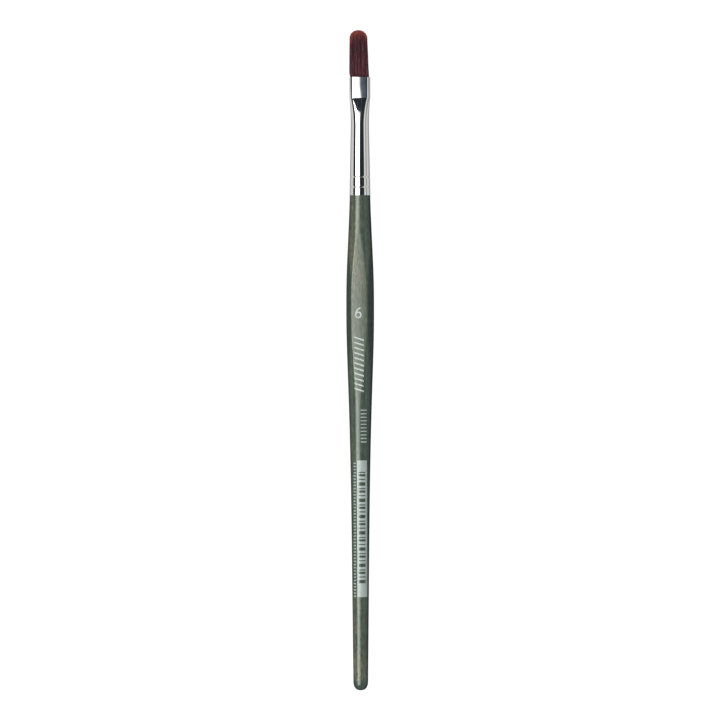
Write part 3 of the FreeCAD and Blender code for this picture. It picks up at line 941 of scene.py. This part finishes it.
def build_root_bundle(settings):
    """The packed roots that fill the tube's front, pressed flat with it."""
    form = FerruleForm(settings)
    low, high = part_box("tuft_root")
    tied_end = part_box("binding_thread")[1].x
    found = spaced(low.x, min(high.x, MOUTH - 0.1 * MM), 0.3 * MM)
    rings = []
    for place in found:
        waist = 1 - float(smooth_step(tied_end + 0.1 * MM, tied_end + 0.7 * MM, place))
        rings.append(form.ring(place, settings.wall + ROOT_GAP + THREAD_ROOM * waist))
    ends = [[(place, 0, AXIS_HEIGHT)] * FERRULE_SIDES for place in (found[0], found[-1])]
    return wrap_rings("root_bundle", [ends[0], *rings, ends[1]])


# ---------------------------------------------------------------- the tuft


STRAND_SIDES = 4
STRAND_CUTS = (0.0, 0.12, 0.26, 0.4, 0.54, 0.67, 0.79, 0.9, 1.0)
ROOT_INSIDE = 0.35 * MM
TUFT_LENGTH = TIP - MOUTH
SWELL_AT = 4.5 * MM
TIP_RADIUS = 2.58 * MM
MOUTH_HALF_WIDTH = 2.64 * MM
FULL_HALF_WIDTH = 2.8 * MM
MOUTH_HALF_THICKNESS = 0.68 * MM
SWELL_HALF_THICKNESS = 0.84 * MM
TIP_HALF_THICKNESS = 0.2 * MM
LEAN_AT_MOUTH = 0.55
ROOT_SHAKE = 0.16
# how much shorter than the outline filaments may be, in the middle layer and added outside it
SHORTER_POWER = 2.2
SHORTER_MIDDLE = 0.5 * MM
SHORTER_OUTSIDE = 1.1 * MM
POINT_CLEARANCE = 0.05 * MM
CLUMPS = 230
CLUMP_PULL = 0.05 * MM
# the middle and the spread of the clumps' shades
CLUMP_SHADE = (0.45, 0.24)
TONE_SPREAD = 0.18
# painted light: filaments are lighter towards picture-left
PAINTED_LIGHT_SIDE_TONE = 0.14
GATHER = 0.42
STRAY = 0.025 * MM
SWAY = 0.03 * MM
SWAY_TURNS = 0.95
WIDTH_SPREAD = (0.85, 1.1)
POINT_THINNING = 0.72
REDDENING = 2.1 * MM
REDDENING_SPREAD = (0.4, 1.5)
# painted light: points redden further towards picture-left, most at its edge
PAINTED_LIGHT_SIDE_REDDENING = 0.35
PAINTED_LIGHT_EDGE_REDDENING = 2.2
CORE_WIDTH = 0.93
CORE_THICKNESS = 0.82
CORE_SHORTER = 1.5 * MM
# the core stands for the inner filaments; its dark tone is painted shade
CORE_PAINTED_SHADE_TONE = 0.12


def tuft_half_width(reach):
    """Half the tuft's width at a distance out of the mouth."""
    spreading = smooth_step(0, 0.8 * MM, reach)
    narrowing = np.clip(reach / (TUFT_LENGTH - TIP_RADIUS), 0, 1)
    full = MOUTH_HALF_WIDTH + (FULL_HALF_WIDTH - MOUTH_HALF_WIDTH) * spreading
    return full + (TIP_RADIUS - full) * narrowing


def tuft_half_thickness(reach):
    """Half the tuft's thickness at a distance out of the mouth."""
    swelling = smooth_step(0, SWELL_AT, reach)
    thinning = smooth_step(SWELL_AT * 0.7, TUFT_LENGTH * 1.04, reach)
    full = MOUTH_HALF_THICKNESS + (SWELL_HALF_THICKNESS - MOUTH_HALF_THICKNESS) * swelling
    return full + (TIP_HALF_THICKNESS - full) * thinning


def tuft_leaning(settings, reach):
    """How far the tuft has leaned to one side at a distance out of the mouth."""
    free = np.clip(reach / TUFT_LENGTH, 0, 1)
    return settings.lean * (
        LEAN_AT_MOUTH * smooth_step(0, 0.1, free) + (1 - LEAN_AT_MOUTH) * free**1.5
    )


def strand_roots(settings, rng):
    """Where filaments start in the mouth: a close hexagonal packing, a little shaken."""
    pitch = settings.strand_pitch
    row_step = pitch * math.sqrt(0.75)
    rows = int(MOUTH_HALF_THICKNESS / row_step)
    columns = int(MOUTH_HALF_WIDTH / pitch) + 1
    straight = MOUTH_HALF_WIDTH - MOUTH_HALF_THICKNESS
    roots = []
    for row in range(-rows, rows + 1):
        for column in range(-columns, columns + 1):
            across = (column + 0.5 * (row % 2)) * pitch
            upward = row * row_step
            beyond = max(0, abs(across) - straight)
            if math.hypot(beyond, upward) < MOUTH_HALF_THICKNESS:
                roots.append((across, upward))
    roots = np.array(roots)
    return roots + rng.normal(0, pitch * ROOT_SHAKE, roots.shape)


def strand_clumps(roots, rng):
    """Sort filaments into small clumps, each with its own centre, pull and shade."""
    centre = roots[rng.choice(len(roots), CLUMPS, replace=False)]
    away = np.linalg.norm(roots[:, None, :] - centre[None, :, :], axis=2)
    clump = away.argmin(axis=1)
    pull = rng.normal(0, CLUMP_PULL, (CLUMPS, 2))
    shade = rng.normal(*CLUMP_SHADE, CLUMPS)
    return clump, centre, pull, shade


def strand_paths(settings, rng):
    """Each filament's points from root to tip, its thickness there, and its tones."""
    roots = strand_roots(settings, rng)
    count = len(roots)
    cuts = np.array(STRAND_CUTS)
    side = roots[:, 0] / MOUTH_HALF_WIDTH
    depth = np.clip(np.abs(roots[:, 1]) / MOUTH_HALF_THICKNESS, 0, 1)
    end_side = np.clip(np.abs(side), 0, 0.995) * TIP_RADIUS
    outline = TUFT_LENGTH - TIP_RADIUS + np.sqrt(TIP_RADIUS**2 - end_side**2)
    shorter = rng.random(count) ** SHORTER_POWER
    shorter *= SHORTER_MIDDLE + SHORTER_OUTSIDE * depth**2
    end = outline - shorter - POINT_CLEARANCE
    reach = -ROOT_INSIDE + (end[:, None] + ROOT_INSIDE) * cuts[None, :]
    width_share = tuft_half_width(reach) / MOUTH_HALF_WIDTH
    thickness_share = tuft_half_thickness(reach) / MOUTH_HALF_THICKNESS
    clump, centre, pull, shade = strand_clumps(roots, rng)
    free = np.clip(reach / TUFT_LENGTH, 0, 1)
    stray = rng.normal(0, STRAY, (count, 2))
    wave = rng.random(len(pull))[clump] * math.tau
    sway = np.sin(free * math.tau * SWAY_TURNS + wave[:, None]) * SWAY
    gather = GATHER * smooth_step(0.05, 0.6, free)
    pairs = (roots, centre[clump], pull[clump] + stray)
    home, goal, drift = (pair.T[:, :, None] for pair in pairs)
    across, upward = home + (goal - home) * gather
    across = across * width_share + drift[0] * free + sway * free
    limit = tuft_half_width(reach)
    across = np.clip(across, -limit, limit) + tuft_leaning(settings, reach)
    upward = upward * thickness_share + drift[1] * free**2
    roll = bpy.context.scene.brush_ferrule.roll * MOUTH_ROLL
    turned_across = across * math.cos(roll) - upward * math.sin(roll)
    turned_upward = upward * math.cos(roll) + across * math.sin(roll)
    points = np.stack([MOUTH + reach, turned_across, AXIS_HEIGHT + turned_upward], axis=2)
    thin = 1 - POINT_THINNING * smooth_step(0.45, 1.0, cuts)
    radius = settings.strand_width / 2 * thin[None, :] * rng.uniform(*WIDTH_SPREAD, (count, 1))
    # painted light: the tone rises towards picture-left
    tone = np.clip(shade[clump] + rng.normal(0, TONE_SPREAD, count) + PAINTED_LIGHT_SIDE_TONE * side, 0, 1)
    uneven = rng.uniform(*REDDENING_SPREAD, len(pull))[clump]
    # painted light: the points redden further towards picture-left and most at its edge
    painted_light_sideways = PAINTED_LIGHT_SIDE_REDDENING * side + PAINTED_LIGHT_EDGE_REDDENING * smooth_step(0.8, 1, side)
    reddening = REDDENING * uneven * (1 + painted_light_sideways)
    to_point = np.clip((end[:, None] - reach) / reddening[:, None], 0, 1)
    return points, radius, tone, to_point


def build_filaments(settings):
    """Lay all filaments as thin closed rods in one mesh."""
    rng = np.random.default_rng(settings.seed)
    points, radius, tone, to_point = strand_paths(settings, rng)
    count, cuts = radius.shape
    spin = rng.random(count) * math.tau
    turns = np.arange(STRAND_SIDES) * math.tau / STRAND_SIDES
    angle = spin[:, None, None] + turns[None, None, :]
    places = np.repeat(points[:, :, None, :], STRAND_SIDES, axis=2)
    places[..., 1] += radius[:, :, None] * np.cos(angle)
    places[..., 2] += radius[:, :, None] * np.sin(angle)
    ends = points[:, -1, :].copy()
    ends[:, 0] += radius[:, -1] * 1.2
    per_strand = cuts * STRAND_SIDES + 2
    stacked = np.concatenate(
        [places.reshape(count, -1, 3), points[:, :1, :], ends[:, None, :]], axis=1
    )
    template = strand_faces(cuts)
    faces = [
        tuple(corner + number * per_strand for corner in face)
        for number in range(count)
        for face in template
    ]
    deselect_all()
    bpy.ops.mesh.primitive_cone_add(vertices=STRAND_SIDES, radius1=MM, depth=MM)
    piece = name_piece("filaments")
    piece.data.clear_geometry()
    piece.data.from_pydata(stacked.reshape(-1, 3), [], faces)
    along_values = np.repeat(to_point[:, :, None], STRAND_SIDES, axis=2).reshape(count, -1)
    along_values = np.concatenate([along_values, np.ones((count, 1)), np.zeros((count, 1))], 1)
    add_point_values(piece, "to_point", along_values.ravel())
    add_point_values(piece, "tone", np.repeat(tone, per_strand))
    pick(piece)
    bpy.ops.object.shade_smooth()
    return piece


def strand_faces(cuts):
    """The faces of one filament: its sides, its closed root and its closed point."""
    start = cuts * STRAND_SIDES
    last = start - STRAND_SIDES
    faces = []
    for number in range(STRAND_SIDES):
        after = (number + 1) % STRAND_SIDES
        for low in range(0, last, STRAND_SIDES):
            high = low + STRAND_SIDES
            faces.append((low + number, low + after, high + after, high + number))
        faces += [(start, after, number), (start + 1, last + number, last + after)]
    return faces


def build_core(settings):
    """The packed heart of the bundle, out of sight between the filaments."""
    deselect_all()
    reaches = spaced(-ROOT_INSIDE, TUFT_LENGTH - 1.6 * MM, 0.7 * MM)
    start = reaches[0]
    bpy.ops.mesh.primitive_circle_add(
        vertices=40, radius=1, fill_type="TRIFAN", location=(MOUTH + start, 0, AXIS_HEIGHT),
        rotation=(0, math.pi / 2, 0),
    )
    piece = name_piece("tuft_core")
    settle(piece)
    edit_all(piece)
    scale = core_scale(start)
    bpy.ops.transform.resize(value=(1, *scale), center_override=(0, 0, AXIS_HEIGHT))
    aside = 0
    for before, reach in zip(reaches, reaches[1:]):
        leaning = float(tuft_leaning(settings, reach))
        bpy.ops.mesh.extrude_region_move(
            TRANSFORM_OT_translate={"value": (reach - before, leaning - aside, 0)}
        )
        aside = leaning
        grown = core_scale(reach)
        share = (1, grown[0] / scale[0], grown[1] / scale[1])
        bpy.ops.transform.resize(value=share, center_override=(0, aside, AXIS_HEIGHT))
        scale = grown
    bpy.ops.mesh.select_all(action="SELECT")
    roll = bpy.context.scene.brush_ferrule.roll * MOUTH_ROLL
    bpy.ops.transform.rotate(
        value=-roll, orient_axis="X", center_override=(0, 0, AXIS_HEIGHT)
    )
    bpy.ops.object.mode_set(mode="OBJECT")
    close_and_turn_out(piece, 0.001 * MM)
    reach = point_array(piece)[:, 0] - MOUTH
    add_point_values(piece, "to_point", np.clip((TUFT_LENGTH - reach) / REDDENING, 0, 1))
    # painted shade: the core inside the bundle is given a dark tone
    add_point_values(piece, "tone", np.full(len(reach), CORE_PAINTED_SHADE_TONE))
    smooth_by_angle(piece, 40)
    return piece


def core_scale(reach):
    """The core's half width and half thickness at a distance out of the mouth."""
    from_end = max(0.02, (TUFT_LENGTH - CORE_SHORTER - reach) / TIP_RADIUS)
    rounding = math.sqrt(1 - (1 - min(1, from_end)) ** 2)
    width = float(tuft_half_width(reach)) * CORE_WIDTH * max(0.15, rounding)
    thickness = float(tuft_half_thickness(reach)) * CORE_THICKNESS
    return width, thickness


# ---------------------------------------------------------------- the stage


KEY_SIDE = math.radians(14)
KEY_DISTANCE = 0.6
KEY_SIZE = (0.5, 0.3)
FLOOR_DROP = 5 * MM
# the floor in reflections, darker near the brush as a painted shadow: near and far from the brush,
# then its brightness at each
FLOOR_PAINTED_SHADOW = (5.5 * MM, 28 * MM, 0.3, 0.68)
# what the polished metal mirrors, by the angle off the camera's line: (degrees, brightness)
TENT_BANDS = (
    (-90, 0.38), (-69, 0.38), (-66, 0.8), (-53, 0.8), (-49, 0.3), (-44, 0.035), (-1.5, 0.03),
    (0.5, 0.1), (2, 0.3), (3.5, 0.85), (5, 1.7), (9, 3.6), (18, 5.5), (33, 8.5), (42, 7.0),
    (49, 3.5), (52, 1.2), (55, 0.03), (80, 0.03), (84, 0.85), (90, 0.7),
)
TENT_PEAK = 8.5
TENT_RADIUS = 0.6
TENT_ENDS = (1.0, 1.2)
END_BRIGHTNESS = 0.5
# the soft box's limits along the brush, in metres, and round it, in degrees
BOX_PLACE = (-0.48, -0.45, 0.37, 0.4)
BOX_TURN = (0.0, 1.0, 54.0, 55.0)
BEYOND_BOX = 0.035
# a faint card past the tip, with its limits given in the same way
GLIMMER_PLACE = (0.118, 0.142, 0.2, 0.4)
GLIMMER_TURN = (-15.0, -3.0, 0.0, 3.0)
GLIMMER_BRIGHTNESS = 0.13


def lean_basis(lean):
    """The camera's own right, up and back directions, before its small turn."""
    back = Vector((0, -math.sin(lean), math.cos(lean)))
    return Matrix((ALONG.cross(back), ALONG, back)).transposed()


def place_camera(settings):
    """Look straight down on the brush, with its tip up in the picture."""
    basis = lean_basis(settings.camera_lean)
    turned = basis @ Matrix.Rotation(settings.camera_turn, 3, "Z")
    right, _, back = basis.col
    aside = right * settings.camera_aside
    bpy.ops.object.camera_add(location=AXIS_POINT + back * settings.camera_height - aside)
    camera = bpy.context.object
    camera.name = "camera"
    camera.rotation_euler = turned.to_euler()
    camera.data.lens = settings.lens
    camera.data.sensor_width = 36
    camera.data.clip_start = 0.01
    bpy.context.scene.camera = camera


def mix_shaders(tree, share, first, second):
    """Two shaders mixed by a share."""
    inputs = {"Fac": share, 1: first.outputs[0], 2: second.outputs[0]}
    return add_node(tree, "ShaderNodeMixShader", inputs)


def paint_floor():
    """A pale floor: white to the eye, dimmer in reflections and in bounced light, with a painted
    shadow near the brush in reflections.
    """
    material, tree = new_material("pale_floor")
    rays = add_node(tree, "ShaderNodeLightPath").outputs
    paper = add_node(tree, "ShaderNodeBsdfDiffuse", {"Color": (0.85, 0.85, 0.85, 1)})
    white = {"Color": (1, 1, 1, 1), "Strength": 1.1}
    seen = mix_shaders(tree, 0.92, paper, add_node(tree, "ShaderNodeEmission", white))
    dim = add_node(tree, "ShaderNodeBsdfDiffuse", {"Color": (0.16, 0.165, 0.16, 1)})
    # painted shadow: the mirrored floor is darker near the brush
    shade = remap(abs(split_place(tree)[1]), *FLOOR_PAINTED_SHADOW)
    pale = {"Color": (0.97, 1.0, 0.96, 1), "Strength": shade}
    mirrored_with_painted_shadow = add_node(tree, "ShaderNodeEmission", pale)
    unseen = mix_shaders(tree, rays["Is Glossy Ray"], dim, mirrored_with_painted_shadow)
    shown = mix_shaders(tree, rays["Is Camera Ray"], unseen, seen)
    add_node(tree, "ShaderNodeOutputMaterial", {"Surface": shown.outputs[0]})
    return material


def lay_floor():
    """The floor, low enough for the tuft to bend down above it."""
    deselect_all()
    bpy.ops.mesh.primitive_plane_add(size=12, location=(0, 0, -FLOOR_DROP))
    floor = name_piece("floor")
    settle(floor)
    give_material(floor, paint_floor())


def paint_tent(lean):
    """Light and dark bands of the studio, seen only in reflections."""
    material, tree = new_material("studio_bands")
    along, across, up = split_place(tree)
    turn = across.combine("ARCTAN2", across, up - AXIS_HEIGHT)
    degrees = (turn + lean) * (180 / math.pi)
    ramp = add_node(tree, "ShaderNodeValToRGB", {"Fac": (degrees + 90) / 180})
    stops = ramp.color_ramp.elements
    while len(stops) > 1:
        stops.remove(stops[-1])
    for number, (angle, brightness) in enumerate(TENT_BANDS):
        position = (angle + 90) / 180
        stop = stops[0] if number == 0 else stops.new(position)
        stop.position = position
        level = brightness / TENT_PEAK
        stop.color = (level, level, level, 1)
    beyond = between(degrees, *BOX_TURN) * (1.0 - between(along, *BOX_PLACE))
    strength = Value(ramp.outputs["Color"]) * TENT_PEAK * (1.0 - beyond) + beyond * BEYOND_BOX
    glimmer = between(along, *GLIMMER_PLACE) * between(degrees, *GLIMMER_TURN)
    strength += glimmer * GLIMMER_BRIGHTNESS
    strength += remap(abs(along), *TENT_ENDS) * END_BRIGHTNESS
    colour = mix_colour(tree, remap(strength, 0.1, 0.45), (0.62, 0.8, 1.0), (1, 0.985, 0.93))
    glow = add_node(tree, "ShaderNodeEmission", {"Color": colour, "Strength": strength})
    add_node(tree, "ShaderNodeOutputMaterial", {"Surface": glow.outputs[0]})
    return material


def raise_tent(settings):
    """An open tube of studio cards round the brush, seen only in reflections."""
    deselect_all()
    bpy.ops.mesh.primitive_cylinder_add(
        vertices=96, radius=TENT_RADIUS, depth=4, end_fill_type="NOTHING",
        location=AXIS_POINT, rotation=(0, math.pi / 2, 0),
    )
    tent = name_piece("studio_cards")
    settle(tent)
    give_material(tent, paint_tent(settings.camera_lean))
    for ray in ("camera", "diffuse", "transmission", "volume_scatter", "shadow"):
        setattr(tent, "visible_" + ray, False)


def hang_key(settings):
    """The large soft light, off the camera's line towards picture-left."""
    right, _, back = lean_basis(settings.camera_lean).col
    direction = back * math.cos(KEY_SIDE) - right * math.sin(KEY_SIDE)
    bpy.ops.object.light_add(type="AREA", location=AXIS_POINT + direction * KEY_DISTANCE)
    light = bpy.context.object
    light.name = "key"
    light.rotation_euler = direction.to_track_quat("Z", "X").to_euler()
    light.data.shape = "RECTANGLE"
    light.data.size, light.data.size_y = KEY_SIZE
    light.data.energy = settings.key_power
    light.visible_glossy = False
    light.visible_camera = False


def light_room(fill):
    """The room's own light: white to the eye, dim on the brush."""
    world = bpy.data.worlds.new("room")
    world.use_nodes = True
    tree = world.node_tree
    tree.nodes.clear()
    rays = add_node(tree, "ShaderNodeLightPath").outputs
    strength = remap(Value(rays["Is Camera Ray"]), 0.0, 1.0, fill, 1.0)
    glow = add_node(tree, "ShaderNodeBackground", {"Color": (1, 1, 1, 1), "Strength": strength})
    add_node(tree, "ShaderNodeOutputWorld", {"Surface": glow.outputs[0]})
    bpy.context.scene.world = world


# ---------------------------------------------------------------- operators


class BRUSH_OT_stage(bpy.types.Operator):
    """Set up the camera, the floor and the studio light"""

    bl_idname = "brush.stage"
    bl_label = "Set Up Stage"

    def execute(self, context):
        settings = context.scene.brush_stage
        deselect_all()
        place_camera(settings)
        lay_floor()
        raise_tent(settings)
        hang_key(settings)
        light_room(settings.fill)
        context.scene.view_settings.view_transform = "Standard"
        return {"FINISHED"}


class BRUSH_OT_handle(bpy.types.Operator):
    """Turn the stick, plane its grip flats, and stain and lacquer it"""

    bl_idname = "brush.handle"
    bl_label = "Make Handle"

    def execute(self, context):
        settings = context.scene.brush_handle
        stick = lathe("turned_stick", stick_outline(settings), LATHE_STEPS)
        plane_grip(stick, settings)
        smooth_by_angle(stick, 35)
        give_material(stick, make_stained_wood(settings))
        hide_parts("handle")
        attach(stick, "brush")
        return {"FINISHED"}


class BRUSH_OT_ferrule(bpy.types.Operator):
    """Form the plated tube with its flat mouth, crease and crimps"""

    bl_idname = "brush.ferrule"
    bl_label = "Make Ferrule"

    def execute(self, context):
        settings = context.scene.brush_ferrule
        tube = build_ferrule(settings)
        smooth_by_angle(tube, 50)
        give_material(tube, make_nickel(settings))
        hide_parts("ferrule")
        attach(tube, "brush")
        return {"FINISHED"}


class BRUSH_OT_tuft(bpy.types.Operator):
    """Lay the filaments round their packed core"""

    bl_idname = "brush.tuft"
    bl_label = "Make Tuft"

    def execute(self, context):
        settings = context.scene.brush_tuft
        material = make_filament_material(settings)
        filaments = build_filaments(settings)
        core = build_core(settings)
        for piece in (filaments, core):
            give_material(piece, material)
            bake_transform(piece)
        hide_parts("tuft")
        return {"FINISHED"}


class BRUSH_OT_inner_pieces(bpy.types.Operator):
    """Give the pieces inside the ferrule their finishes"""

    bl_idname = "brush.inner_pieces"
    bl_label = "Finish Inner Pieces"

    def execute(self, context):
        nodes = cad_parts
        roots = build_root_bundle(context.scene.brush_ferrule)
        smooth_by_angle(roots, 40)
        give_material(roots, make_root_material(context.scene.brush_tuft))
        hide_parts("tuft_root")
        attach(roots, "brush")
        give_material(nodes["binding_thread"], make_thread_material())
        give_material(nodes["resin_plug"], make_resin())
        give_material(nodes["tang_glue"], make_glue())
        return {"FINISHED"}


class BRUSH_OT_foil_marks(bpy.types.Operator):
    """Give the stamped marks on the handle their silver foil"""

    bl_idname = "brush.foil_marks"
    bl_label = "Finish Foil Marks"

    def execute(self, context):
        foil = make_foil()
        for name in ("size_numeral", "hatch_band", "tick_band", "dash_line", "bar_panel"):
            give_material(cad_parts[name], foil)
        return {"FINISHED"}


OPERATORS = (
    BRUSH_OT_stage,
    BRUSH_OT_handle,
    BRUSH_OT_ferrule,
    BRUSH_OT_tuft,
    BRUSH_OT_inner_pieces,
    BRUSH_OT_foil_marks,
)


class BRUSH_PT_panel(bpy.types.Panel):
    """Lists the brush's pieces and their settings"""

    bl_idname = "BRUSH_PT_panel"
    bl_label = "Paint Brush"
    bl_space_type = "VIEW_3D"
    bl_region_type = "UI"
    bl_category = "Paint Brush"

    def draw(self, context):
        for operator in OPERATORS:
            self.layout.operator(operator.bl_idname)
        for holder, group in SETTINGS.items():
            box = self.layout.box()
            box.label(text=group.__doc__)
            for field in group.__annotations__:
                box.prop(getattr(context.scene, holder), field)


def register():
    """Register the settings, the operators and the panel."""
    for group in SETTINGS.values():
        bpy.utils.register_class(group)
    for holder, group in SETTINGS.items():
        setattr(bpy.types.Scene, holder, bpy.props.PointerProperty(type=group))
    for operator in OPERATORS:
        bpy.utils.register_class(operator)
    bpy.utils.register_class(BRUSH_PT_panel)


def unregister():
    """Take everything back out."""
    bpy.utils.unregister_class(BRUSH_PT_panel)
    for operator in reversed(OPERATORS):
        bpy.utils.unregister_class(operator)
    for holder in SETTINGS:
        delattr(bpy.types.Scene, holder)
    for group in reversed(SETTINGS.values()):
        bpy.utils.unregister_class(group)


def main():
    """Make the whole brush on its stage."""
    register()
    bpy.ops.brush.stage()
    bpy.ops.brush.handle()
    bpy.ops.brush.ferrule()
    bpy.ops.brush.tuft()
    bpy.ops.brush.inner_pieces()
    bpy.ops.brush.foil_marks()


if __name__ == "__main__":
    main()
